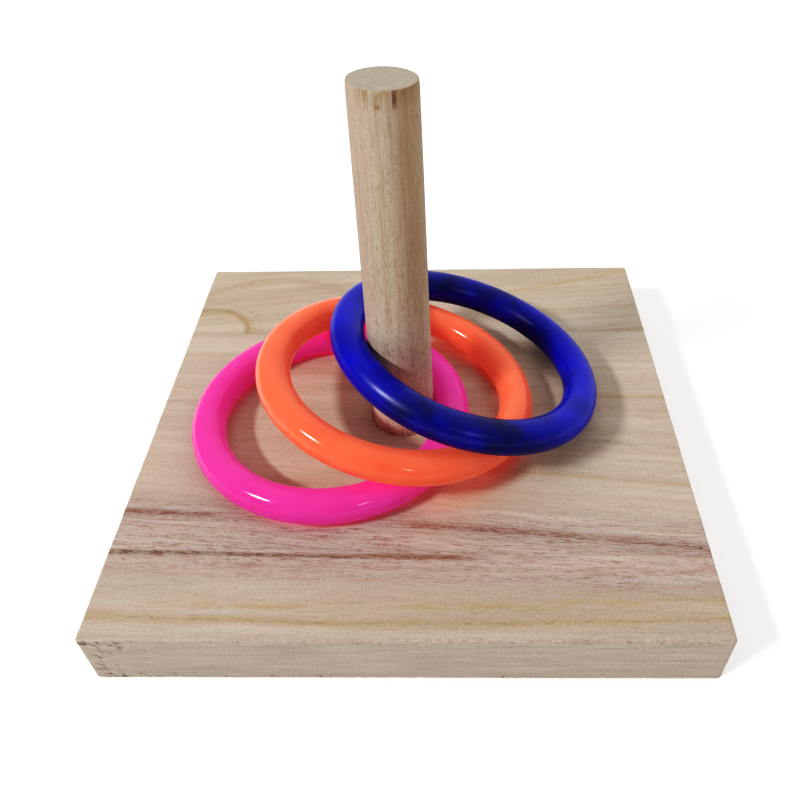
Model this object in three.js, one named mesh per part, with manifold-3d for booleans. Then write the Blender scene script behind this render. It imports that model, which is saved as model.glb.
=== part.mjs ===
// Ring stand: a square edge-glued wooden board, a glued-in wooden peg, and three loose plastic rings.
// Millimetres, +Z up. The origin is the centre of the board's underside; the peg leans on no side.
// The front of the board faces -Y, and the back stave lies along +Y.

import * as THREE from "three";
import { mergeVertices } from "three/addons/utils/BufferGeometryUtils.js";
import Module from "manifold-3d";

const wasm = await Module();
wasm.setup();

// Driving dimensions
const boardSide = 100;
const boardThickness = 11.3;
const boardEdgeEase = 0.4;            // small flat on every long edge of the sawn board
const boardCornerEase = 0.8;          // the four upright corners are a little more worn
const backStaveWidth = 25;
const glueLineThickness = 0.25;

const pegCentre = new THREE.Vector2(-1.74, -0.68);
const pegHeight = 65;                 // above the board, on the peg's axis
const pegFootRadius = 5.85;
const pegTopRadius = 5.2;
const pegEndEase = 0.25;
const pegEndSlope = 0.041;            // the sawn end falls towards the back
const socketDepth = 8;
const socketGap = 0.3;                // glue gap all round and under the peg

const glueBeadWidth = 0.8;
const glueBeadHeight = 0.5;
const glueBeadGap = 0.15;

const ringMeanRadius = 23.1;
const ringTubeRadius = 3;
const ringRestGap = 0.14;             // air left where a ring touches wood or plastic

// How the rings lie: centre in plan and above the board, lean from level, and the way the low side faces.
const rings = [
  { name: "ring_pink", colour: 0xf42da2, x: -15.3, y: -3.5, z: ringTubeRadius + ringRestGap, lean: 0, facing: 0 },
  { name: "ring_orange", colour: 0xf55a2d, x: -2.6, y: -0.4, z: 8.52, lean: 13.2, facing: 14.5 },
  { name: "ring_blue", colour: 0x1b1ab3, x: 10.5, y: 3.9, z: 11.3, lean: 18.4, facing: 14.9 },
];

const material = (color, roughness) => new THREE.MeshStandardMaterial({ color, roughness, metalness: 0 });

function toSolid(geometry) {
  const bare = geometry.clone();
  bare.deleteAttribute("normal");
  bare.deleteAttribute("uv");
  const merged = mergeVertices(bare, 1e-4);
  return new wasm.Manifold(new wasm.Mesh({
    numProp: 3,
    vertProperties: new Float32Array(merged.attributes.position.array),
    triVerts: new Uint32Array(merged.index.array),
  }));
}

function toGeometry(solid) {
  const mesh = solid.getMesh();
  const geometry = new THREE.BufferGeometry();
  geometry.setAttribute("position", new THREE.BufferAttribute(mesh.vertProperties.slice(), 3));
  geometry.setIndex(new THREE.BufferAttribute(mesh.triVerts.slice(), 1));
  geometry.computeVertexNormals();
  return geometry;
}

// A plain block given by its low and high corners.
function block(low, high) {
  const size = high.clone().sub(low);
  const centre = high.clone().add(low).multiplyScalar(0.5);
  return new THREE.BoxGeometry(size.x, size.y, size.z).translate(centre.x, centre.y, centre.z);
}

// The whole board before it is parted into staves: a rounded square with eased long edges.
function boardBlank() {
  const half = boardSide / 2 - boardEdgeEase;
  const corner = boardCornerEase;
  const outline = new THREE.Shape();
  outline.moveTo(-half + corner, -half);
  outline.absarc(half - corner, -half + corner, corner, -Math.PI / 2, 0);
  outline.absarc(half - corner, half - corner, corner, 0, Math.PI / 2);
  outline.absarc(-half + corner, half - corner, corner, Math.PI / 2, Math.PI);
  outline.absarc(-half + corner, -half + corner, corner, Math.PI, 1.5 * Math.PI);
  return new THREE.ExtrudeGeometry(outline, {
    depth: boardThickness - 2 * boardEdgeEase,
    bevelThickness: boardEdgeEase,
    bevelSize: boardEdgeEase,
    bevelSegments: 1,
    curveSegments: 4,
  }).translate(0, 0, boardEdgeEase);
}

// The part of the board between two planes across Y.
function stave(fromY, toY) {
  const reach = boardSide;
  const slice = block(new THREE.Vector3(-reach, fromY, -reach), new THREE.Vector3(reach, toY, reach));
  return toSolid(boardBlank()).intersect(toSolid(slice));
}

function mainStave(jointY) {
  const radius = pegFootRadius + socketGap;
  const depth = socketDepth + socketGap;
  const drill = new THREE.CylinderGeometry(radius, radius, 2 * depth, 48)
    .rotateX(Math.PI / 2)
    .translate(pegCentre.x, pegCentre.y, boardThickness);
  return toGeometry(stave(-boardSide, jointY).subtract(toSolid(drill)));
}

// Lathe turns about Y, so a profile of (radius, height) is stood up to turn about Z.
const turned = (profile, segments) => new THREE.LatheGeometry(profile, segments).rotateX(Math.PI / 2);

// A dowel that narrows upwards, from the bottom of its socket to a sawn end that isn't quite square.
function peg() {
  const profile = [
    new THREE.Vector2(0, -socketDepth),
    new THREE.Vector2(pegFootRadius - pegEndEase, -socketDepth),
    new THREE.Vector2(pegFootRadius, -socketDepth + pegEndEase),
    new THREE.Vector2(pegFootRadius, 0),
    new THREE.Vector2(pegTopRadius, pegHeight - pegEndEase),
    new THREE.Vector2(pegTopRadius - pegEndEase, pegHeight),
    new THREE.Vector2(0, pegHeight),
  ];
  const geometry = turned(profile, 48);
  const position = geometry.attributes.position;
  for (let i = 0; i < position.count; i += 1) {
    if (position.getZ(i) > pegHeight / 2) {
      position.setZ(i, position.getZ(i) - pegEndSlope * position.getY(i));
    }
  }
  geometry.computeVertexNormals();
  return geometry;
}

// A low ring of dried glue that hugs the peg and covers the mouth of the socket.
function glueBead() {
  const inner = pegFootRadius + glueBeadGap;
  const profile = [
    new THREE.Vector2(inner, 0),
    new THREE.Vector2(inner + glueBeadWidth, 0),
    new THREE.Vector2(inner + 0.75 * glueBeadWidth, 0.45 * glueBeadHeight),
    new THREE.Vector2(inner + 0.3 * glueBeadWidth, 0.9 * glueBeadHeight),
    new THREE.Vector2(inner, glueBeadHeight),
    new THREE.Vector2(inner, 0),
  ];
  return turned(profile, 48);
}

const jointLow = boardSide / 2 - backStaveWidth - glueLineThickness / 2;
const jointHigh = jointLow + glueLineThickness;

const wood = material(0xc4a98e, 0.75);
const pegWood = material(0xc2a486, 0.75);
const driedGlue = material(0x9c7a55, 0.5);

const stand = new THREE.Group();

function add(parent, name, geometry, finish) {
  const mesh = new THREE.Mesh(geometry, finish);
  mesh.name = name;
  parent.add(mesh);
  return mesh;
}

add(stand, "board_main_stave", mainStave(jointLow), wood);
add(stand, "board_back_stave", toGeometry(stave(jointHigh, boardSide)), wood);
add(stand, "board_glue_line", toGeometry(stave(jointLow, jointHigh)), driedGlue);

const onBoard = new THREE.Group();
onBoard.position.set(0, 0, boardThickness);
stand.add(onBoard);

const upright = new THREE.Group();
upright.position.set(pegCentre.x, pegCentre.y, 0);
onBoard.add(upright);
add(upright, "peg", peg(), pegWood);
add(upright, "peg_glue", glueBead(), driedGlue);

for (const ring of rings) {
  const seat = new THREE.Group();
  seat.position.set(ring.x, ring.y, ring.z);
  seat.rotation.order = "ZYX";
  seat.rotation.set(0, THREE.MathUtils.degToRad(ring.lean), THREE.MathUtils.degToRad(ring.facing));
  onBoard.add(seat);
  const torus = new THREE.TorusGeometry(ringMeanRadius, ringTubeRadius, 16, 56);
  add(seat, ring.name, torus, material(ring.colour, 0.2));
}

export default stand;
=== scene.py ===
"""Looks of the ring stand: an edge-glued wooden board, a wooden peg and three glossy plastic rings.

The frame is the CAD part's, in metres: +Z up, the board's front towards -Y, its underside at z = 0.
Sizes of the object are given in millimetres and turned into metres by MM; lights and the floor are in metres.
"""

import math
import random
from types import SimpleNamespace

import bmesh
import bpy
import numpy as np
from mathutils import Matrix, Vector, noise


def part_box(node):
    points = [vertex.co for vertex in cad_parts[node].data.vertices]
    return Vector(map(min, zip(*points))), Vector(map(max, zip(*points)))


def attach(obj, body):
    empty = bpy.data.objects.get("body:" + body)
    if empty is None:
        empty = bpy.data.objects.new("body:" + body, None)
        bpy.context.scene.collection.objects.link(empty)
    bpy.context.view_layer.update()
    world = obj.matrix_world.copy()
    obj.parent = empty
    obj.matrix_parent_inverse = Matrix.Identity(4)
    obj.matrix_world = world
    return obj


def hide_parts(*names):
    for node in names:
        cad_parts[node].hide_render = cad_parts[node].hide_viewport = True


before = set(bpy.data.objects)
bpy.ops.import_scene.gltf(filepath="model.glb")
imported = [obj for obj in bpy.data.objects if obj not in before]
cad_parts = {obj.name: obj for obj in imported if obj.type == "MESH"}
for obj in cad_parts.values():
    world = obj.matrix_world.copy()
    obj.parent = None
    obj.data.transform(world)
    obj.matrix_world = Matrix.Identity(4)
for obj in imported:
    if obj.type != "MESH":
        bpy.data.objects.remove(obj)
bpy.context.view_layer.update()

MM = 0.001
BOARD_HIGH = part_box("board_back_stave")[1]
TOP = BOARD_HIGH.z / MM                      # the board's top face, mm
HALF = BOARD_HIGH.x / MM                     # half the board's side, mm
JOINT_Y = (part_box("board_main_stave")[1].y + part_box("board_back_stave")[0].y) / 2 / MM


def middle(node):
    """The middle of a CAD part's box, in millimetres."""
    low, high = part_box(node)
    return (low + high) / 2 / MM


PEG = middle("peg")
PEG_FOOT_RADIUS = (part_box("peg")[1].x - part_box("peg")[0].x) / 2 / MM
PEG_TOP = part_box("peg")[1].z / MM


# ---------------------------------------------------------------- shader helpers

class Graph:
    """A material's node tree, with one short method for each kind of node that is used."""

    def __init__(self, name):
        self.material = bpy.data.materials.new(name)
        self.material.use_nodes = True
        self.tree = self.material.node_tree
        self.shader = self.tree.nodes["Principled BSDF"]
        coordinates = self.tree.nodes.new("ShaderNodeTexCoord")
        self.normal = coordinates.outputs["Normal"]
        self.place = self.scaled(coordinates.outputs["Object"], (1 / MM,) * 3)   # millimetres

    def put(self, value, socket):
        if isinstance(value, bpy.types.NodeSocket):
            self.tree.links.new(value, socket)
        else:
            socket.default_value = value

    def scaled(self, vector, scale, offset=(0, 0, 0)):
        node = self.tree.nodes.new("ShaderNodeMapping")
        self.put(vector, node.inputs["Vector"])
        node.inputs["Scale"].default_value = scale
        node.inputs["Location"].default_value = offset
        return node.outputs[0]

    def split(self, vector):
        node = self.tree.nodes.new("ShaderNodeSeparateXYZ")
        self.put(vector, node.inputs[0])
        return list(node.outputs)

    def join(self, x, y, z):
        node = self.tree.nodes.new("ShaderNodeCombineXYZ")
        for value, socket in zip((x, y, z), node.inputs):
            self.put(value, socket)
        return node.outputs[0]

    def math(self, operation, *values, clamp=False):
        node = self.tree.nodes.new("ShaderNodeMath")
        node.operation = operation
        node.use_clamp = clamp
        for value, socket in zip(values, node.inputs):
            self.put(value, socket)
        return node.outputs[0]

    def total(self, *values):
        result = values[0]
        for value in values[1:]:
            result = self.math("ADD", result, value)
        return result

    def product(self, *values):
        result = values[0]
        for value in values[1:]:
            result = self.math("MULTIPLY", result, value)
        return result

    def noise(self, vector, scale=1.0, detail=2.0, roughness=0.5):
        node = self.tree.nodes.new("ShaderNodeTexNoise")
        self.put(vector, node.inputs["Vector"])
        node.inputs["Scale"].default_value = scale
        node.inputs["Detail"].default_value = detail
        node.inputs["Roughness"].default_value = roughness
        return node.outputs["Fac"]

    def range(self, value, low, high, to_low=0.0, to_high=1.0, smooth=False):
        node = self.tree.nodes.new("ShaderNodeMapRange")
        node.interpolation_type = "SMOOTHSTEP" if smooth else "LINEAR"
        for value_in, socket in zip((value, low, high, to_low, to_high), node.inputs):
            self.put(value_in, socket)
        return node.outputs[0]

    def ramp(self, value, *stops):
        node = self.tree.nodes.new("ShaderNodeValToRGB")
        self.put(value, node.inputs[0])
        elements = node.color_ramp.elements
        while len(elements) < len(stops):
            elements.new(0.5)
        for element, (position, colour) in zip(elements, stops):
            element.position = position
            element.color = linear(colour)
        return node.outputs[0]

    def mix(self, amount, first, second):
        node = self.tree.nodes.new("ShaderNodeMix")
        node.data_type = "RGBA"
        self.put(amount, node.inputs["Factor"])
        for value, name in ((first, "A"), (second, "B")):
            socket = next(s for s in node.inputs if s.name == name and s.type == "RGBA")
            self.put(value, socket)
        return next(s for s in node.outputs if s.type == "RGBA")

    def lay(self, tint, colour, value, low, high, *amounts):
        """Lays tint over colour as value goes from low to high, as strongly as the amounts multiply to."""
        return self.mix(self.product(self.range(value, low, high), *amounts), colour, linear(tint))

    def bump(self, height, distance, strength):
        node = self.tree.nodes.new("ShaderNodeBump")
        node.inputs["Strength"].default_value = strength
        node.inputs["Distance"].default_value = distance * MM
        self.put(height, node.inputs["Height"])
        return node.outputs[0]

    def finish(self, **inputs):
        """Sets the shader's sockets, named with _ for a space, and gives back the material."""
        for name, value in inputs.items():
            self.put(value, self.shader.inputs[name.replace("_", " ")])
        return self.material


def linear(colour):
    """An 8-bit sRGB colour as the linear RGBA that a shader socket holds."""
    parts = [c / 255 for c in colour]
    return tuple(p / 12.92 if p <= 0.04045 else ((p + 0.055) / 1.055) ** 2.4 for p in parts) + (1.0,)


# ---------------------------------------------------------------- wood of the board

# Ramps of planed and sawn wood: (noise level, colour)
BACK_WOOD = ((0.32, (179, 165, 147)), (0.5, (188, 175, 157)), (0.68, (196, 185, 169)))
PALE_WOOD = ((0.32, (181, 166, 151)), (0.5, (190, 176, 160)), (0.68, (198, 187, 172)))
WARM_WOOD = ((0.32, (168, 155, 140)), (0.5, (177, 166, 152)), (0.68, (187, 178, 165)))
ROSY_WOOD = ((0.32, (171, 157, 150)), (0.5, (181, 168, 160)), (0.68, (193, 181, 172)))
SAWN_WOOD = ((0.30, (157, 145, 134)), (0.5, (173, 161, 149)), (0.70, (185, 174, 162)))

# Colours of what lies over them
BAND, FIBRE, DASH, PORE = (168, 144, 122), (146, 112, 100), (122, 86, 74), (84, 60, 46)
FUZZ_LIGHT, FUZZ_DARK = (230, 218, 202), (142, 114, 96)
SAWN_LIGHT, SAWN_DARK, SAWN_TORN = (206, 196, 180), (126, 108, 90), (84, 66, 50)
RIM_LIGHT, RIM_DARK = (208, 198, 182), (132, 112, 92)
PURPLE, UMBER, OCHRE, ROSE = (112, 74, 66), (96, 74, 58), (174, 144, 98), (164, 112, 100)

# Growth lines of the front stave, each as y = at + slope * x + bend * x * x (millimetres):
# (at, slope, bend, half width, first x, last x, strength, how broken, colour)
FRONT_LINES = (
    (-28.1, -0.085, -0.0003, 0.50, -60, -28, 1.00, 0.5, PURPLE),
    (-29.2, -0.085, -0.0003, 0.40, -60, -20, 0.45, 0.9, PURPLE),
    (-28.0, -0.085, -0.0003, 0.62, -6, 60, 0.85, 0.65, PURPLE),
    (-29.3, -0.088, -0.0003, 0.45, 8, 60, 0.50, 0.9, PURPLE),
    (-31.2, -0.075, 0.0, 0.45, -60, 60, 0.40, 0.9, ROSE),
    (-34.7, -0.025, 0.0, 0.38, -60, 16, 1.00, 0.45, UMBER),
    (-33.6, -0.040, 0.0, 0.30, -60, 30, 0.45, 0.9, PURPLE),
    (-35.0, -0.026, 0.0, 0.50, -4, 60, 0.40, 0.8, ROSE),
    (-36.9, -0.010, 0.0, 0.50, -60, 60, 0.38, 0.8, ROSE),
    (-38.9, -0.004, 0.0006, 0.45, -60, 60, 0.32, 0.8, ROSE),
    (-43.9, 0.000, 0.0004, 0.80, -45, 60, 0.62, 0.75, OCHRE),
    (-46.9, -0.004, 0.0005, 0.75, -60, 60, 0.60, 0.5, OCHRE),
    (-46.9, -0.004, 0.0005, 0.25, -48, 60, 0.28, 0.9, UMBER),
    (-41.5, 0.000, 0.0004, 0.45, -60, 60, 0.22, 0.7, OCHRE),
    (-13.6, -0.120, 0.0, 0.45, 14, 60, 0.50, 0.6, OCHRE),
    (-9.5, -0.100, 0.0, 0.50, 10, 60, 0.22, 0.8, OCHRE),
    (4.6, -0.026, 0.0, 0.45, 24, 60, 0.55, 0.6, OCHRE),
    (-4.5, -0.120, 0.0, 0.55, 28, 46, 0.35, 1.0, UMBER),
    (11.0, -0.030, 0.0, 0.60, -60, 60, 0.18, 0.8, ROSE),
)
# Long lines at the back stave's right end, in the same form
BACK_LINES = (
    (35.6, 0.185, 0.0014, 0.45, 16, 60, 0.50, 0.5, (182, 150, 92)),
    (36.4, 0.190, 0.0014, 0.90, 16, 60, 0.18, 0.5, (182, 150, 92)),
    (18.8, 0.140, 0.0, 0.55, 30, 60, 0.50, 0.6, (132, 102, 78)),
    (30.0, 0.100, 0.0, 0.60, 14, 60, 0.18, 0.8, (160, 134, 104)),
)
# The curled figure at the back stave's left end: (centre, radii, half width, strength, how broken, colour)
CURLS = (
    ((-47.0, 25.0), (9.3, 9.1), 0.45, 0.62, 0.4, (134, 108, 74)),
    ((-45.8, 25.0), (8.9, 8.2), 0.95, 0.50, 0.4, (170, 140, 92)),
    ((-46.5, 25.0), (11.8, 11.4), 0.35, 0.22, 0.6, (150, 124, 86)),
    ((-33.0, 20.0), (26.0, 25.9), 0.80, 0.42, 0.5, (158, 130, 88)),
    ((-33.0, 20.0), (24.6, 24.4), 0.40, 0.25, 0.7, (158, 130, 88)),
    ((-36.0, 22.0), (22.0, 16.5), 0.60, 0.15, 0.6, (158, 134, 98)),
)
LINE_FADE = 10                               # a growth line fades out over this length, mm
BACK_FIBRES = 0.22                           # how strongly fibres show on the back stave
WOOD_GLOSS = 0.3


def line_shape(g, off, half, torn, broken):
    """How a line fades with off, the distance from its middle, and where the noise torn breaks it."""
    edge = g.range(off, half * 0.3, half * 2, 1.0, 0.0, smooth=True)
    dashes = g.range(torn, 0.44, 0.60, 1.0 - broken, 1.0)
    return edge, dashes


def growth_line(g, x, y, colour, line, torn):
    """Lays one fibrous growth line over colour."""
    at, slope, bend, half, first, last, strength, broken, tint = line
    middle_y = g.total(at, g.product(x, slope), g.product(x, x, bend))
    off = g.math("ABSOLUTE", g.math("SUBTRACT", y, middle_y))
    edge, dashes = line_shape(g, off, half, torn, broken)
    start = g.range(x, first, first + LINE_FADE, smooth=True)
    end = g.range(x, last - LINE_FADE, last, 1.0, 0.0, smooth=True)
    return g.mix(g.product(edge, start, end, dashes, strength), colour, linear(tint))


def ellipse_line(g, x, y, colour, curl, torn):
    """Lays a growth line round an ellipse, which the joint or the board's edge cuts off."""
    centre, radii, half, strength, broken, tint = curl
    u = g.math("DIVIDE", g.math("SUBTRACT", x, centre[0]), radii[0])
    v = g.math("DIVIDE", g.math("SUBTRACT", y, centre[1]), radii[1])
    reach = g.math("SQRT", g.total(g.product(u, u), g.product(v, v)))
    off = g.product(g.math("ABSOLUTE", g.math("SUBTRACT", reach, 1.0)), min(radii))
    edge, dashes = line_shape(g, off, half, torn, broken)
    return g.mix(g.product(edge, dashes, strength), colour, linear(tint))


def stave_grain(g, back):
    """A stave's coordinates in millimetres, and the noises that its wood is painted from."""
    x, y, z = g.split(g.place)
    drift = g.range(g.noise(g.scaled(g.place, (0.02, 0.07, 0.06)), 1.0, 2.0), 0, 1, -1.4, 1.4)
    flutter = g.range(g.noise(g.scaled(g.place, (0.06, 0.6, 0.5)), 1.0, 2.0), 0, 1, -0.45, 0.45)
    if back:
        fall = g.product(x, -0.10)
    else:
        steep = g.product(g.range(y, -46, -27, smooth=True), g.range(y, -14, 8, 1.0, 0.2, smooth=True))
        fall = g.product(x, steep, 0.09)
    across = g.total(y, fall, drift, flutter, g.product(z, 1.3))

    def stretched(along, sideways, upright, detail, roughness):
        place = g.join(g.product(x, along), g.product(across, sideways), g.product(z, upright))
        return g.noise(place, 1.0, detail, roughness)

    return SimpleNamespace(
        x=x, y=y, z=z, drift=drift, bent_y=g.total(y, flutter),
        broad=stretched(0.012, 0.20, 0.0, 3.0, 0.55),
        bands=stretched(0.018, 1.0, 0.2, 4.0, 0.62),
        fibres=stretched(0.20, 4.4, 3.6, 3.0, 0.66),
        torn=stretched(0.60, 4.2, 3.6, 2.0, 0.6),
        fuzz=g.noise(g.scaled(g.place, (3.0, 4.6, 4.6)), 1.0, 4.0, 0.78),
        patches=g.noise(g.scaled(g.place, (0.16, 0.9, 0.9)), 1.0, 6.0, 0.78),
        specks=g.noise(g.place, 0.9, 1.0, 0.4),
    )


def back_colours(g, grain):
    """The narrow stave, with its curled figure and long lines; also how strongly its fibres show."""
    colour = g.ramp(grain.broad, *BACK_WOOD)
    for curl in CURLS:
        colour = ellipse_line(g, grain.x, grain.bent_y, colour, curl, grain.torn)
    for line in BACK_LINES:
        colour = growth_line(g, grain.x, grain.bent_y, colour, line, grain.torn)
    return colour, BACK_FIBRES


def front_colours(g, grain):
    """The wide stave, with a rosy belt between pale and warm wood; also how strongly its fibres show."""
    belt = g.total(grain.y, g.product(grain.x, 0.06), g.product(grain.drift, 0.8))
    above = g.range(belt, -28.0, -21.5, smooth=True)
    below = g.range(belt, -41.0, -36.0, 1.0, 0.0, smooth=True)
    pale, warm, rosy = (g.ramp(grain.broad, *stops) for stops in (PALE_WOOD, WARM_WOOD, ROSY_WOOD))
    colour = g.mix(above, g.mix(below, rosy, warm), pale)
    for line in FRONT_LINES:
        breaks = grain.patches if line[-1] == OCHRE else grain.torn
        colour = growth_line(g, grain.x, grain.bent_y, colour, line, breaks)
    in_belt = g.product(g.math("SUBTRACT", 1.0, above), g.math("SUBTRACT", 1.0, below))
    return colour, g.range(in_belt, 0, 1, 0.24, 0.80)


def fibre_colours(g, grain, colour, density):
    """Lays bands, fibres, dashes, fuzz and pores over the stave's broad colour."""
    low_bands = g.range(grain.bands, 0.36, 0.56, 1.0, 0.0)
    colour = g.mix(g.product(low_bands, 0.28), colour, linear(BAND))
    colour = g.lay(FIBRE, colour, grain.fibres, 0.48, 0.68, density)
    colour = g.lay(DASH, colour, grain.torn, 0.60, 0.70, density, 0.85)
    colour = g.lay(FUZZ_LIGHT, colour, grain.fuzz, 0.50, 0.72, 0.31)
    colour = g.lay(FUZZ_DARK, colour, grain.fuzz, 0.50, 0.30, 0.44)
    return g.lay(PORE, colour, grain.specks, 0.80, 0.84, 0.7)


def torn_strokes(g, x, z):
    """Dark slanting strokes where the saw tore the front face: dense at the left end and along the edges."""
    slant = g.join(g.total(x, g.product(z, -1.0)), g.total(z, g.product(x, 0.85)), 0.0)
    strokes = g.noise(g.scaled(slant, (0.38, 1.35, 1.0)), 1.0, 2.0, 0.55)
    at_left = g.range(x, -50.0, -37.0, 0.15, 0.0)
    at_edges = g.range(g.math("ABSOLUTE", g.math("SUBTRACT", z, TOP / 2)), 3.6, 5.4, -0.06, 0.035)
    return g.range(g.total(strokes, at_left, at_edges), 0.65, 0.72, 0.0, 0.75, smooth=True)


def sawn_colours(g, grain, colour):
    """Greys the sawn front face, and marks its torn strokes and the ragged rim above it."""
    ragged = g.range(grain.fuzz, 0.3, 0.7, -0.30, 0.30)
    sawn = g.range(g.total(g.product(g.split(g.normal)[1], -1.0), ragged), 0.45, 0.95, smooth=True)
    cut = g.noise(g.scaled(g.place, (0.08, 1, 1.3)), 1.0, 4.0, 0.6)
    colour = g.mix(g.product(sawn, 0.8), colour, g.ramp(cut, *SAWN_WOOD))
    colour = g.lay(SAWN_LIGHT, colour, grain.fuzz, 0.50, 0.72, sawn, 0.3)
    colour = g.lay(SAWN_DARK, colour, grain.fuzz, 0.50, 0.30, sawn, 0.3)
    colour = g.mix(g.product(sawn, torn_strokes(g, grain.x, grain.z)), colour, linear(SAWN_TORN))
    near_face = g.range(grain.y, -48.8, -49.7)
    near_top = g.range(grain.z, TOP - 1.5, TOP - 0.5)
    rim = g.product(near_face, near_top, g.range(grain.x, -30, 12, 0.25, 1.0))
    tufts = g.noise(g.scaled(g.place, (1.3, 2.0, 2.6)), 1.0, 3.0, 0.7)
    colour = g.lay(RIM_LIGHT, colour, tufts, 0.54, 0.66, rim, 0.45)
    return g.lay(RIM_DARK, colour, tufts, 0.44, 0.34, rim, 0.4)


def board_wood(name, back):
    """Pale planed wood with its grain along X; back is the narrow stave with the curled figure."""
    g = Graph(name)
    grain = stave_grain(g, back)
    colour, density = back_colours(g, grain) if back else front_colours(g, grain)
    colour = fibre_colours(g, grain, colour, density)
    colour = sawn_colours(g, grain, colour)
    relief = g.total(
        g.product(grain.fibres, 0.6), g.product(grain.torn, -0.4),
        g.product(grain.bands, 0.4), g.product(grain.fuzz, 0.5))
    rough = g.range(grain.fuzz, 0.3, 0.7, 0.66, 0.84)
    return g.finish(
        Base_Color=colour, Roughness=rough, Normal=g.bump(relief, 0.06, 0.9), Specular_IOR_Level=WOOD_GLOSS)


# ---------------------------------------------------------------- wood of the peg, glue, plastic

# Strips of the dowel from its left side to its right: (place, colour)
PEG_STRIPS = (
    (0.06, (174, 156, 142)), (0.22, (178, 167, 149)), (0.42, (181, 168, 149)), (0.52, (176, 157, 141)),
    (0.66, (170, 151, 132)), (0.76, (162, 143, 121)), (0.95, (168, 151, 134)),
)
PEG_END = ((0.35, (156, 147, 132)), (0.5, (169, 161, 146)), (0.68, (180, 169, 148)))
# the first is the dowel's colour low down: partly whiter wood, partly painted light thrown up from the board
PEG_PALE_AND_LIT, PEG_BAND, PEG_FIBRE, PEG_HAIR = (216, 196, 184), (152, 124, 98), (144, 114, 90), (226, 212, 194)
PEG_FUZZ, PEG_PORE, PEG_KNOT, PEG_STAIN = (134, 104, 82), (96, 70, 54), (82, 60, 44), (134, 100, 68)
KNOT_X, KNOT_DOWN = -0.5, 2.3                # the knot's middle, and how far it is below the end, mm
CRACK_X, CRACK_DOWN = 1.9, 1.2


def peg_marks(g, x, y, z, fibres, hairs, colour):
    """The knot, the short crack and the brown stain just below the sawn end."""
    beside, below = g.total(x, -KNOT_X), g.total(z, KNOT_DOWN - PEG_TOP)
    from_knot = g.math("SQRT", g.total(g.product(beside, beside), g.product(below, below)))
    frayed = g.total(from_knot, g.range(hairs, 0.3, 0.7, -0.3, 0.3))
    beside_crack = g.product(g.math("ABSOLUTE", g.total(x, -CRACK_X)), 4.0)
    along_crack = g.product(g.math("ABSOLUTE", g.total(z, CRACK_DOWN - PEG_TOP)), 0.9)
    from_crack = g.math("MAXIMUM", beside_crack, along_crack)
    knot = g.range(frayed, 0.1, 0.5, 0.6, 0.0)
    crack = g.range(from_crack, 0.3, 1.6, 0.85, 0.0)
    front = g.range(y, -1.0, -3.0)
    colour = g.mix(g.product(g.math("MAXIMUM", knot, crack), front), colour, linear(PEG_KNOT))
    stained = g.product(g.range(z, PEG_TOP - 3.4, PEG_TOP - 0.8), g.range(x, -4.4, -2.6))
    stain = g.product(stained, g.range(fibres, 0.34, 0.60), 0.50)
    return g.mix(stain, colour, linear(PEG_STAIN))


def peg_wood():
    """Raw dowel: grain along Z in pale, tan and brown strips, fine pores low down, and a greyer sawn end."""
    g = Graph("peg_wood")
    place = g.scaled(g.place, (1, 1, 1), (-PEG.x, -PEG.y, 0))
    x, y, z = g.split(place)
    wander = g.range(g.noise(g.scaled(place, (0.3, 0.3, 0.05)), 1.0, 2.0), 0, 1, -1.6, 1.6)
    strip = g.range(g.total(x, wander, g.product(y, 0.15)), -6.0, 6.0)
    # paler low down: partly whiter wood, partly painted light thrown up from the board below
    pale_and_lit_low = g.range(z, TOP + 6, TOP + 34, 0.75, 0.0, smooth=True)
    colour = g.mix(pale_and_lit_low, g.ramp(strip, *PEG_STRIPS), linear(PEG_PALE_AND_LIT))
    bands = g.noise(g.scaled(place, (1.6, 1.6, 0.03)), 1.0, 3.0, 0.6)
    fibres = g.noise(g.scaled(place, (4.5, 4.5, 0.12)), 1.0, 3.0, 0.62)
    hairs = g.noise(g.scaled(place, (7.0, 7.0, 0.35)), 1.0, 3.0, 0.7)
    pores = g.noise(g.scaled(place, (5.4, 5.4, 0.8)), 1.0, 2.0, 0.6)
    fuzz = g.noise(g.scaled(place, (4.0, 4.0, 2.6)), 1.0, 3.0, 0.7)
    colour = g.lay(PEG_BAND, colour, bands, 0.52, 0.68, 0.36)
    colour = g.lay(PEG_FIBRE, colour, fibres, 0.50, 0.70, 0.40)
    hairy = g.range(z, TOP + 6, TOP + 42, 0.62, 0.12)
    colour = g.lay(PEG_HAIR, colour, hairs, 0.50, 0.70, hairy)
    colour = g.lay(PEG_FUZZ, colour, fuzz, 0.50, 0.34, 0.34)
    low_down = g.range(z, TOP + 8, TOP + 60, 1.0, 0.4)
    open_pores = g.product(g.range(pores, 0.59, 0.66, smooth=True), low_down)
    colour = g.mix(g.product(open_pores, 0.50), colour, linear(PEG_PORE))
    colour = peg_marks(g, x, y, z, fibres, hairs, colour)
    end = g.range(g.split(g.normal)[2], 0.7, 0.9, smooth=True)
    dust = g.noise(g.scaled(place, (1.2, 2.2, 1.0)), 1.0, 5.0, 0.75)
    colour = g.mix(end, colour, g.ramp(dust, *PEG_END))
    relief = g.total(g.product(fibres, 0.5), g.product(open_pores, -0.8), g.product(hairs, 0.4))
    return g.finish(
        Base_Color=colour, Roughness=0.75, Normal=g.bump(relief, 0.05, 0.8), Specular_IOR_Level=WOOD_GLOSS)


def dried_glue(name, dark, middling, light):
    """Lumpy dried wood glue, from dark to light with its lumps."""
    g = Graph(name)
    lumps = g.noise(g.place, 1.4, 3.0, 0.6)
    colour = g.ramp(lumps, (0.35, dark), (0.5, middling), (0.68, light))
    return g.finish(Base_Color=colour, Roughness=0.45, Normal=g.bump(lumps, 0.12, 0.7))


PAINTED_OWN_GLOW = 0.25                              # share of its own colour that a bright plastic gives out as a painted glow, which lightens its shaded sides
SIDE_DOWN, FULLY_DOWN = -0.66, -0.94         # the normal's z where the painted glow turns to deep, and is all deep


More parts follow.
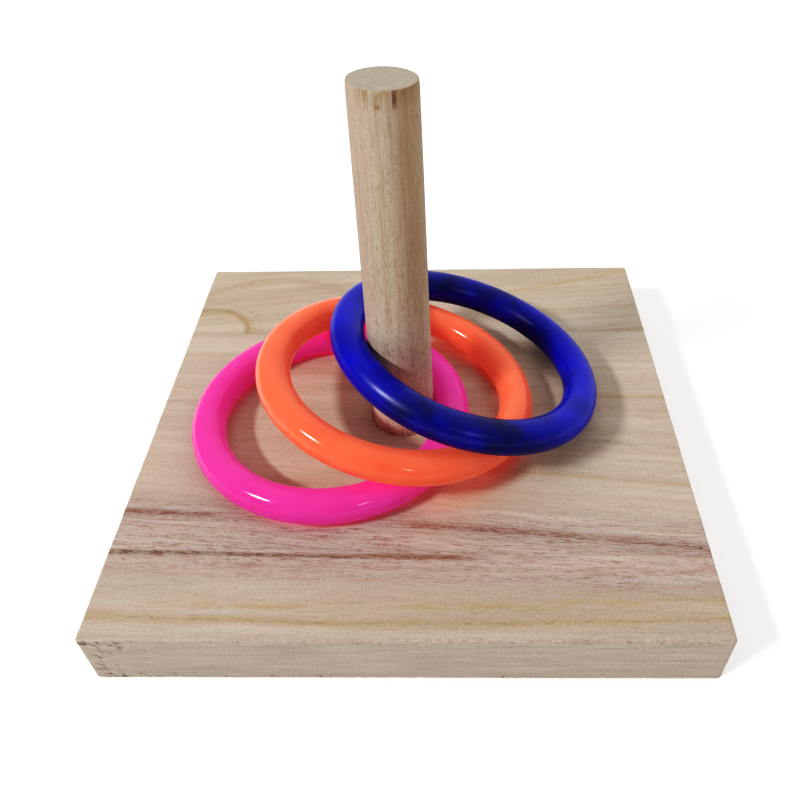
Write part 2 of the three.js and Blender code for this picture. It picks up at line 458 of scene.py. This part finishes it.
def plastic(name, node, colour, shade, deep, rough, gloss, depth, painted_glow, painted_shade_amount):
    """Glossy moulded plastic with faint flow marks; haze mixes colour with shade.

    The emission is a painted glow that stands in for fluorescent dye: every face gives out a share of its own
    colour, which lightens the shaded sides. Faces that look down give out deep instead, a painted glow that
    stands in for light that has come through the ring onto the wood.
    depth is how far light goes into the plastic. The last argument paints shade: it makes the ring's front
    and back more like shade than its left and right sides are.
    """
    g = Graph(name)
    haze = g.noise(g.place, 0.16, 3.0, 0.55)
    grit = g.noise(g.place, 2.2, 3.0, 0.6)
    from_middle = g.math("ABSOLUTE", g.total(g.split(g.place)[0], -middle(node).x))
    # painted shade: the ring's front and back are darker than its left and right sides
    painted_shade_mask = g.range(from_middle, RING_MEAN * 0.9, RING_MEAN * 0.3, -painted_shade_amount, painted_shade_amount, smooth=True)
    shaded = g.math("ADD", g.range(haze, 0.2, 0.8), painted_shade_mask, clamp=True)
    tone = g.mix(shaded, linear(colour), linear(shade))
    hazy_gloss = g.range(haze, 0.3, 0.7, rough * 0.85, rough * 1.2)
    roughness = g.total(hazy_gloss, g.range(grit, 0.6, 0.8, 0.0, 0.06))
    waves = g.total(g.noise(g.place, 0.45, 2.0), g.product(grit, 0.05))
    # painted glow: faces that look down give out deep, which paints the light that comes through the ring
    # onto the wood
    under = g.range(g.split(g.normal)[2], SIDE_DOWN, FULLY_DOWN, smooth=True)
    own = tuple(PAINTED_OWN_GLOW * part for part in linear(colour)[:3]) + (1.0,)
    return g.finish(
        Base_Color=tone, Roughness=roughness, Normal=g.bump(waves, 0.05, 0.35),
        Subsurface_Weight=depth, Subsurface_Radius=(1.0, 0.3, 0.4), Subsurface_Scale=8 * MM,
        Specular_IOR_Level=gloss, Emission_Color=g.mix(under, own, linear(deep)), Emission_Strength=painted_glow,
    )


# ---------------------------------------------------------------- mesh helpers

SHARP_ANGLE = 50                             # edges flatter than this, in degrees, are shaded smooth


def piece(name, mesh, material, body, slot, *nodes):
    """Shows mesh (its points in millimetres) as a piece that rides on body and stands for CAD nodes."""
    mesh.transform(Matrix.Scale(MM, 4))
    mesh.materials.append(material)
    obj = bpy.data.objects.new(name, mesh)
    bpy.context.collection.objects.link(obj)
    for polygon in mesh.polygons:
        polygon.use_smooth = True
    mesh.set_sharp_from_angle(angle=math.radians(SHARP_ANGLE))
    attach(obj, body)
    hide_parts(*nodes)


def steps(low, high, spacing, edge_low, edge_high):
    """Grid stops from low to high, packed close at an end that has a rounded edge."""
    close = (0.0, 0.08, 0.16, 0.26, 0.38, 0.55, 0.8)
    start = [low + c for c in close] if edge_low else [low]
    stop = [high - c for c in reversed(close)] if edge_high else [high]
    count = max(1, round((stop[0] - start[-1]) / spacing))
    between = list(np.linspace(start[-1], stop[0], count + 1))[1:-1]
    return start + between + stop


def box_shell(xs, ys, zs):
    """A closed bmesh box whose faces are grids at the given stops."""
    bm = bmesh.new()
    corners = {}

    def vertex(x, y, z):
        key = (round(x, 5), round(y, 5), round(z, 5))
        if key not in corners:
            corners[key] = bm.verts.new(key)
        return corners[key]

    def sheet(us, vs, place, outward):
        for u0, u1 in zip(us, us[1:]):
            for v0, v1 in zip(vs, vs[1:]):
                ring = [vertex(*place(u, v)) for u, v in ((u0, v0), (u1, v0), (u1, v1), (u0, v1))]
                bm.faces.new(ring if outward else ring[::-1])

    sheet(xs, ys, lambda u, v: (u, v, zs[-1]), True)
    sheet(xs, ys, lambda u, v: (u, v, zs[0]), False)
    sheet(xs, zs, lambda u, v: (u, ys[0], v), True)
    sheet(xs, zs, lambda u, v: (u, ys[-1], v), False)
    sheet(ys, zs, lambda u, v: (xs[-1], u, v), True)
    sheet(ys, zs, lambda u, v: (xs[0], u, v), False)
    return bm


def hum(point, scale, seed):
    """Smooth seeded noise between about -1 and 1, with one scale for each direction."""
    return noise.noise(Vector((point[0] * scale[0] + seed, point[1] * scale[1] - seed, point[2] * scale[2])))


def wrap(bm, rows):
    """Joins each row of points to the next, and the last to the first, into a closed skin."""
    for i in range(len(rows)):
        for j in range(len(rows[0])):
            k, m = (i + 1) % len(rows), (j + 1) % len(rows[0])
            bm.faces.new((rows[i][j], rows[k][j], rows[k][m], rows[i][m]))


def to_mesh(bm, name):
    """Turns bm into a mesh whose faces look outwards."""
    bmesh.ops.recalc_face_normals(bm, faces=bm.faces)
    mesh = bpy.data.meshes.new(name)
    bm.to_mesh(mesh)
    bm.free()
    return mesh


# ---------------------------------------------------------------- board

CORNER = 0.8                                 # the board's upright corners are eased this much
JOINT_GAP = 0.02                             # half the width of the glued joint between the staves
TOUCH = 0.0001                               # points this near a face of the sharp box are on it
TINY = 0.000001
PIT_WIDTH = 0.22                             # half the width of a torn pit

# Groups of torn pits: (how many, range of x, range of z, range of half length, depth, tilt)
PIT_GROUPS = (
    (16, (-49, -37), (TOP - 3.4, TOP - 0.6), (0.3, 0.8), 0.22, -0.9),
    (18, (-49, -30), (0.6, 3.6), (0.25, 0.6), 0.2, -0.7),
    (8, (-26, -20), (TOP - 2.5, TOP - 0.5), (0.2, 0.6), 0.2, -0.8),
    (34, (-20, 49), (TOP - 4.0, TOP - 0.4), (0.2, 0.6), 0.14, 0.7),
)


def edge_radius(point, seed):
    """How far a sawn edge is worn at this place: mostly tight, with torn fibres and small chips."""
    slow = hum(point, (0.2, 0.2, 0.2), seed)
    quick = hum(point, (1.1, 1.1, 0.5), seed + 5)
    fine = hum(point, (2.6, 2.6, 1.0), seed + 8)
    return 0.38 + 0.12 * slow + 0.20 * max(0.0, quick) + 0.08 * fine


def outline(x, y):
    """How far (x, y) lies inside the board's outline with its eased corners, and the way inwards."""
    reach = HALF - CORNER
    qx, qy = abs(x) - reach, abs(y) - reach
    way_x, way_y = math.copysign(1, x), math.copysign(1, y)
    if qx > 0 and qy > 0:
        length = math.hypot(qx, qy)
        return CORNER - length, (-way_x * qx / length, -way_y * qy / length)
    if qx > qy:
        return CORNER - qx, (-way_x, 0.0)
    return CORNER - qy, (0.0, -way_y)


def worn(point, radius):
    """Moves a point of the sharp box onto the board with eased corners and worn edges."""
    x, y, z = point
    inside, (way_x, way_y) = outline(x, y)
    if inside < 0:
        x, y, inside = x - way_x * inside, y - way_y * inside, 0.0
    under = min(z, TOP - z)
    if inside < radius and under < radius:
        u, v = radius - inside, radius - under
        shrink = radius / max(math.hypot(u, v), TINY)
        if max(u, v) > radius - TINY:
            new_inside, new_under = radius - u * shrink, radius - v * shrink
            x, y = x + way_x * (new_inside - inside), y + way_y * (new_inside - inside)
            z = new_under if z < TOP / 2 else TOP - new_under
    return Vector((x, y, z))


def torn_pits(seed):
    """Places on the front face where the saw has torn fibres out: (x, z, half length, depth, tilt)."""
    rng = random.Random(seed)
    pits = []
    for count, xs, zs, halves, depth, tilt in PIT_GROUPS:
        for _ in range(count):
            pits.append((rng.uniform(*xs), rng.uniform(*zs), rng.uniform(*halves), depth, tilt))
    return pits


def front_depth(x, z, pits):
    """How far the sawn front face is set back at this place."""
    depth = 0.05 + 0.035 * hum((x, 0, z), (0.05, 1, 0.9), 3) + 0.03 * hum((x, 0, z), (0.9, 1, 2.2), 9)
    for px, pz, half, deep, tilt in pits:
        u = (x - px) * math.cos(tilt) + (z - pz) * math.sin(tilt)
        v = (z - pz) * math.cos(tilt) - (x - px) * math.sin(tilt)
        reach = (u / half) ** 2 + (v / PIT_WIDTH) ** 2
        if reach < 1:
            depth += deep * (1 - reach)
    return depth


def stave(name, y_low, y_high, joint_low, joint_high, seed):
    """One stave: a fine grid box with worn outer edges, a rough sawn front and a slightly wavy top."""
    xs = steps(-HALF, HALF, 0.4, True, True)
    ys = steps(y_low, y_high, 0.7, not joint_low, not joint_high)
    zs = steps(0.0, TOP, 0.3 if not joint_low else 0.8, True, True)
    bm = box_shell(xs, ys, zs)
    pits = torn_pits(seed)
    for v in bm.verts:
        sharp = v.co.copy()
        v.co = worn(sharp, edge_radius(sharp, seed))
        if not joint_low and abs(sharp.y - y_low) < TOUCH:
            edge_fade = min(1.0, min(sharp.z, TOP - sharp.z) / 0.4, (HALF - abs(sharp.x)) / 0.8)
            v.co.y += front_depth(sharp.x, sharp.z, pits) * max(0.0, edge_fade)
        if abs(sharp.z - TOP) < TOUCH:
            v.co.z -= 0.02 + 0.02 * hum(sharp, (0.03, 0.35, 0), seed)
    return to_mesh(bm, name)


def drill(mesh, centre, radius, depth):
    """Cuts the peg's socket into the stave's mesh with an exact boolean."""
    bm = bmesh.new()
    segments = 120
    rings = []
    for z in (TOP - depth, TOP - 0.5, TOP + 1.0):
        ring = []
        for i in range(segments):
            angle = 2 * math.pi * i / segments
            rough = 0.05 * noise.noise(Vector((math.cos(angle) * 3, math.sin(angle) * 3, 7)))
            reach = radius + (rough if z > TOP - 1 else 0)
            x, y = centre.x + reach * math.cos(angle), centre.y + reach * math.sin(angle)
            ring.append(bm.verts.new((x, y, z)))
        rings.append(ring)
    for lower, upper in zip(rings, rings[1:]):
        for i in range(segments):
            j = (i + 1) % segments
            bm.faces.new((lower[i], lower[j], upper[j], upper[i]))
    bm.faces.new(rings[0][::-1])
    bm.faces.new(rings[-1])
    cutter = bpy.data.objects.new("cutter", to_mesh(bm, "cutter"))
    block = bpy.data.objects.new("block", mesh)
    for obj in (cutter, block):
        bpy.context.collection.objects.link(obj)
    cut = block.modifiers.new("socket", "BOOLEAN")
    cut.operation = "DIFFERENCE"
    cut.solver = "EXACT"
    cut.object = cutter
    bpy.context.view_layer.update()
    result = bpy.data.meshes.new_from_object(block.evaluated_get(bpy.context.evaluated_depsgraph_get()))
    for obj in (cutter, block):
        bpy.data.objects.remove(obj)
    return result


def joint_strip():
    """The dried glue that shows as a hair line between the staves."""
    xs = steps(-HALF + 0.3, HALF - 0.3, 0.6, False, False)
    bm = box_shell(xs, [JOINT_Y - JOINT_GAP, JOINT_Y, JOINT_Y + JOINT_GAP], [0.3, TOP / 2, TOP - 0.1])
    for v in bm.verts:
        if v.co.z > TOP - 0.2:
            v.co.z += 0.05 * hum(v.co, (0.7, 1, 1), 4)
    return to_mesh(bm, "joint_glue")


# ---------------------------------------------------------------- peg, glue bead, rings

def turned_mesh(name, profile, segments, shape):
    """A closed turned solid; profile is (radius, height) from the bottom pole to the top pole."""
    bm = bmesh.new()
    bottom = bm.verts.new(shape(0.0, 0.0, profile[0][1]))
    top = bm.verts.new(shape(0.0, 0.0, profile[-1][1]))
    rings = []
    for radius, height in profile[1:-1]:
        angles = [2 * math.pi * i / segments for i in range(segments)]
        rings.append([bm.verts.new(shape(angle, radius, height)) for angle in angles])
    for i in range(segments):
        j = (i + 1) % segments
        bm.faces.new((bottom, rings[0][j], rings[0][i]))
        bm.faces.new((top, rings[-1][i], rings[-1][j]))
        for lower, upper in zip(rings, rings[1:]):
            bm.faces.new((lower[i], lower[j], upper[j], upper[i]))
    return to_mesh(bm, name)


PEG_TAPER = 0.65                             # lost from the radius between the foot and the end
PEG_SLOPE = 0.041                            # the sawn end falls towards the back
PEG_SIDE_SLOPE = 0.03                        # and a little towards the right
PEG_BASE = -7.9                              # the peg's foot, seen from the board's top
SOCKET_DEPTH = 8.2
SOCKET_GAP = 0.3                             # air round the peg in its socket


def peg_mesh():
    """The dowel: tapered, faintly out of round, with a sawn end that isn't square."""
    height = PEG_TOP - TOP - PEG_SLOPE * PEG_FOOT_RADIUS
    foot = PEG_FOOT_RADIUS + 0.05
    profile = [(0.0, PEG_BASE), (foot - 0.4, PEG_BASE), (foot, PEG_BASE + 0.4), (foot, -1.0)]
    for h in np.linspace(0.0, height - 0.3, 90):
        profile.append((foot - PEG_TAPER * h / height, h))
    end = foot - PEG_TAPER
    profile += [(end - 0.03, height - 0.12), (end - 0.12, height - 0.02)]
    profile += [(end * f, height) for f in (0.96, 0.85, 0.7, 0.5, 0.3, 0.12)]
    profile += [(0.0, height)]

    def shape(angle, radius, h):
        flat = 1 + 0.006 * math.sin(2 * angle + 0.6) + 0.003 * math.sin(5 * angle)
        if h > height - 0.4:
            flat -= 0.012 + 0.014 * noise.noise(Vector((math.cos(angle) * 1.8, math.sin(angle) * 1.8, 5)))
        around = Vector((math.cos(angle) * 2, math.sin(angle) * 2, h * 0.05))
        reach = radius * flat + (0.03 * noise.noise(around) if radius > 1 else 0)
        x, y = reach * math.cos(angle), reach * math.sin(angle)
        lift = 0.0
        if h > height / 2:
            lift = -(PEG_SLOPE * y + PEG_SIDE_SLOPE * x) * min(1.0, (h - height / 2) / (height / 2))
            if h > height - 0.01:
                lift += 0.03 * noise.noise(Vector((x * 0.8, y * 3.0, 2)))
        return PEG.x + x, PEG.y + y, TOP + h + lift

    return turned_mesh("peg", profile, 128, shape)


def bead_mesh():
    """A thin, lumpy bead of dried glue in the crevice between the peg and the board."""
    bm = bmesh.new()
    around, section = 180, 10
    rows = []
    for i in range(around):
        angle = 2 * math.pi * i / around
        lump = noise.noise(Vector((math.cos(angle) * 4, math.sin(angle) * 4, 1)))
        front = max(0.0, math.cos(angle + math.radians(70))) ** 3
        thick = 0.17 + 0.06 * lump + 0.14 * front * (1 + lump)
        reach = PEG_FOOT_RADIUS + 0.22 + 0.05 * lump
        rise = -0.06 + 0.08 * front
        row = []
        for j in range(section):
            turn = 2 * math.pi * j / section
            r = reach + thick * math.cos(turn)
            x, y = PEG.x + r * math.cos(angle), PEG.y + r * math.sin(angle)
            row.append(bm.verts.new((x, y, TOP + rise + thick * math.sin(turn))))
        rows.append(row)
    wrap(bm, rows)
    return to_mesh(bm, "peg_glue")


RING_MEAN = 23.1                             # radius of the middle of a ring's tube
RING_TUBE = 3.12                             # radius of the tube itself
RING_STEPS = 224
SEAM = 0.0015                                # the moulding's parting line stands this proud
SEAM_TURNS = (0.0, 180.0)                    # where it runs round the tube: outside and inside
SEAM_SIDES = {2.5, 357.5, 177.5, 182.5}      # extra points that keep it narrow

# How each ring lies, as in the CAD part: lean from level, and the way its low side faces, in degrees
RING_LIES = {"ring_pink": (0.0, 0.0), "ring_orange": (13.2, 14.5), "ring_blue": (18.4, 14.9)}


def ring_mesh(node, seed):
    """A moulded ring: a fine torus with a parting line round its middle, inside and out."""
    lean, facing = (math.radians(a) for a in RING_LIES[node])
    place = Matrix.Translation(middle(node)) @ Matrix.Rotation(facing, 4, "Z") @ Matrix.Rotation(lean, 4, "Y")
    turns = sorted(set(np.linspace(0, 360, 48, endpoint=False)) | SEAM_SIDES)
    bm = bmesh.new()
    rows = []
    for i in range(RING_STEPS):
        angle = 2 * math.pi * i / RING_STEPS
        swell = 0.03 * math.sin(angle * 2 + seed) + 0.015 * math.sin(angle * 5 + 2 * seed)
        row = []
        for turn in turns:
            proud = SEAM if turn in SEAM_TURNS else 0.0
            tube = RING_TUBE + swell * 0.6 + proud
            reach = RING_MEAN + swell + tube * math.cos(math.radians(turn))
            height = tube * math.sin(math.radians(turn))
            point = Vector((reach * math.cos(angle), reach * math.sin(angle), height))
            row.append(bm.verts.new(place @ point))
        rows.append(row)
    wrap(bm, rows)
    return to_mesh(bm, node)


# ---------------------------------------------------------------- the object

THIN_GLUE = ((164, 144, 120), (180, 162, 138), (194, 178, 156))
FOOT_GLUE = ((118, 82, 62), (166, 134, 108), (206, 186, 164))

# Each ring's body and slot, and what plastic() takes after them
RING_LOOKS = {
    # deep and the emission strength give the pink and orange rings a painted glow
    "ring_pink": ("pink_ring", "pink_plastic", {
        "colour": (203, 81, 152), "shade": (197, 67, 142), "deep": (255, 44, 132),
        "rough": 0.12, "gloss": 0.22, "depth": 1.0, "painted_glow": 1.05, "painted_shade_amount": 0.0}),
    "ring_orange": ("orange_ring", "orange_plastic", {
        "colour": (216, 117, 92), "shade": (209, 104, 78), "deep": (255, 72, 36),
        "rough": 0.12, "gloss": 0.22, "depth": 1.0, "painted_glow": 1.05, "painted_shade_amount": 0.0}),
    # the last value paints shade on the blue ring's front and back
    "ring_blue": ("blue_ring", "blue_plastic", {
        "colour": (8, 6, 178), "shade": (2, 1, 84), "deep": (0, 0, 0),
        "rough": 0.34, "gloss": 0.42, "depth": 0.0, "painted_glow": 0.0, "painted_shade_amount": 0.35}),
}


def build_object():
    """Makes every piece of the object, with its material and body."""
    wood_front, wood_back = board_wood("board_wood_front", False), board_wood("board_wood_back", True)
    main = stave("main_stave", -HALF, JOINT_Y - JOINT_GAP, False, True, 11)
    main = drill(main, PEG, PEG_FOOT_RADIUS + SOCKET_GAP, SOCKET_DEPTH)
    piece("main_stave", main, wood_front, "stand", "board_wood", "board_main_stave")
    back = stave("back_stave", JOINT_Y + JOINT_GAP, HALF, True, False, 23)
    piece("back_stave", back, wood_back, "stand", "board_wood", "board_back_stave")
    thin_glue = dried_glue("thin_glue", *THIN_GLUE)
    piece("joint_glue", joint_strip(), thin_glue, "stand", "dried_glue", "board_glue_line")
    piece("peg_dowel", peg_mesh(), peg_wood(), "stand", "peg_wood", "peg")
    glue = dried_glue("dried_glue", *FOOT_GLUE)
    piece("foot_glue", bead_mesh(), glue, "stand", "dried_glue", "peg_glue")
    for seed, (node, (body, slot, look)) in enumerate(RING_LOOKS.items(), start=1):
        material = plastic(slot, node, **look)
        piece(node + "_moulding", ring_mesh(node, seed), material, body, slot, node)


# ---------------------------------------------------------------- camera, floor, light

CAMERA_PITCH, CAMERA_YAW, CAMERA_ROLL = 0.7516, -0.0364, -0.032      # radians
CAMERA_PLACE = (7.6, -109.57, 105.36 + TOP)                          # mm
LENS, SENSOR_WIDTH, LENS_SHIFT = 34.72, 36, -0.0385

FLOOR_REACH = 3.0
FLOOR_GREY = 0.86
FLOOR_GLOW = 0.20                            # lifts the pale floor to nearly white

SKY_TOWARDS = (0.40, 0.60, 0.62)             # the sky is brightest behind, to the right and above
SKY_DIM, SKY_BRIGHT = 0.27, 1.18
# Level in and level shown: darker in the shadows, a little lighter above the middle
TONE_CURVE = (
    (0.05, 0.012), (0.12, 0.050), (0.20, 0.130), (0.30, 0.265), (0.42, 0.41), (0.60, 0.63), (0.85, 0.90),
)


def make_camera():
    """The camera looks down at about 43 degrees from in front, turned and rolled very slightly."""
    pitch, yaw, roll = CAMERA_PITCH, CAMERA_YAW, CAMERA_ROLL
    forward = Vector((math.sin(yaw) * math.cos(pitch), math.cos(yaw) * math.cos(pitch), -math.sin(pitch)))
    level = Vector((math.cos(yaw), -math.sin(yaw), 0.0))
    upward = level.cross(forward)
    right = math.cos(roll) * level + math.sin(roll) * upward
    up = -math.sin(roll) * level + math.cos(roll) * upward
    data = bpy.data.cameras.new("camera")
    data.sensor_width = SENSOR_WIDTH
    data.lens = LENS
    data.shift_x = LENS_SHIFT
    camera = bpy.data.objects.new("camera", data)
    place = Matrix((right, up, -forward)).transposed().to_4x4()
    place.translation = Vector(CAMERA_PLACE) * MM
    camera.matrix_world = place
    bpy.context.collection.objects.link(camera)
    bpy.context.scene.camera = camera


def make_floor():
    """A plain pale floor under the board."""
    mesh = bpy.data.meshes.new("floor")
    reach = FLOOR_REACH
    corners = [(-reach, -reach, 0), (reach, -reach, 0), (reach, reach, 0), (-reach, reach, 0)]
    mesh.from_pydata(corners, [], [(0, 1, 2, 3)])
    g = Graph("floor")
    material = g.finish(
        Base_Color=(FLOOR_GREY, FLOOR_GREY, FLOOR_GREY, 1), Roughness=0.9,
        Emission_Color=(1, 1, 1, 1), Emission_Strength=FLOOR_GLOW)
    mesh.materials.append(material)
    floor = bpy.data.objects.new("floor", mesh)
    bpy.context.collection.objects.link(floor)


def area_light(name, towards, distance, size, watts, colour=(1, 1, 1)):
    """A soft light of the given width and height that shines on the object's middle from towards."""
    data = bpy.data.lights.new(name, "AREA")
    data.shape = "ELLIPSE"
    data.size, data.size_y = size
    data.energy = watts
    data.color = colour
    light = bpy.data.objects.new(name, data)
    target = Vector((0, 0, TOP * MM))
    direction = Vector(towards).normalized()
    light.location = target + direction * distance
    light.rotation_mode = "QUATERNION"
    light.rotation_quaternion = direction.to_track_quat("Z", "Y")
    bpy.context.collection.objects.link(light)


def make_world():
    """Soft light from a sky that is brightest on one side; the camera itself sees it as plain pale."""
    world = bpy.data.worlds.new("world")
    world.use_nodes = True
    tree = world.node_tree
    direction = tree.nodes.new("ShaderNodeTexCoord").outputs["Generated"]
    towards = tree.nodes.new("ShaderNodeVectorMath")
    towards.operation = "DOT_PRODUCT"
    tree.links.new(direction, towards.inputs[0])
    towards.inputs[1].default_value = Vector(SKY_TOWARDS).normalized()
    glow = tree.nodes.new("ShaderNodeMapRange")
    tree.links.new(towards.outputs["Value"], glow.inputs[0])
    glow.inputs["To Min"].default_value = SKY_DIM
    glow.inputs["To Max"].default_value = SKY_BRIGHT
    rays = tree.nodes.new("ShaderNodeLightPath")
    backdrop = tree.nodes.new("ShaderNodeMix")
    tree.links.new(rays.outputs["Is Camera Ray"], backdrop.inputs[0])
    tree.links.new(glow.outputs[0], backdrop.inputs[2])
    backdrop.inputs[3].default_value = 1.0
    tree.links.new(backdrop.outputs[0], tree.nodes["Background"].inputs["Strength"])
    tree.nodes["Background"].inputs["Color"].default_value = (1, 1, 1, 1)
    bpy.context.scene.world = world


def make_light():
    """The key light is low at the left; a small weak one in front gives the rings their second highlight."""
    make_world()
    area_light("key", (-0.66, -0.40, 0.645), 1.2, (0.26, 0.093), 9.3, (1.0, 0.985, 0.97))
    area_light("low_front", (0.35, -0.79, 0.49), 0.8, (0.10, 0.07), 0.45)


def make_tone():
    """Shows the picture through a contrast curve."""
    view = bpy.context.scene.view_settings
    view.view_transform = "Standard"
    view.use_curve_mapping = True
    combined = view.curve_mapping.curves[3]
    for level, shown in TONE_CURVE:
        combined.points.new(level, shown)
    view.curve_mapping.update()


make_camera()
make_floor()
make_light()
make_tone()
build_object()
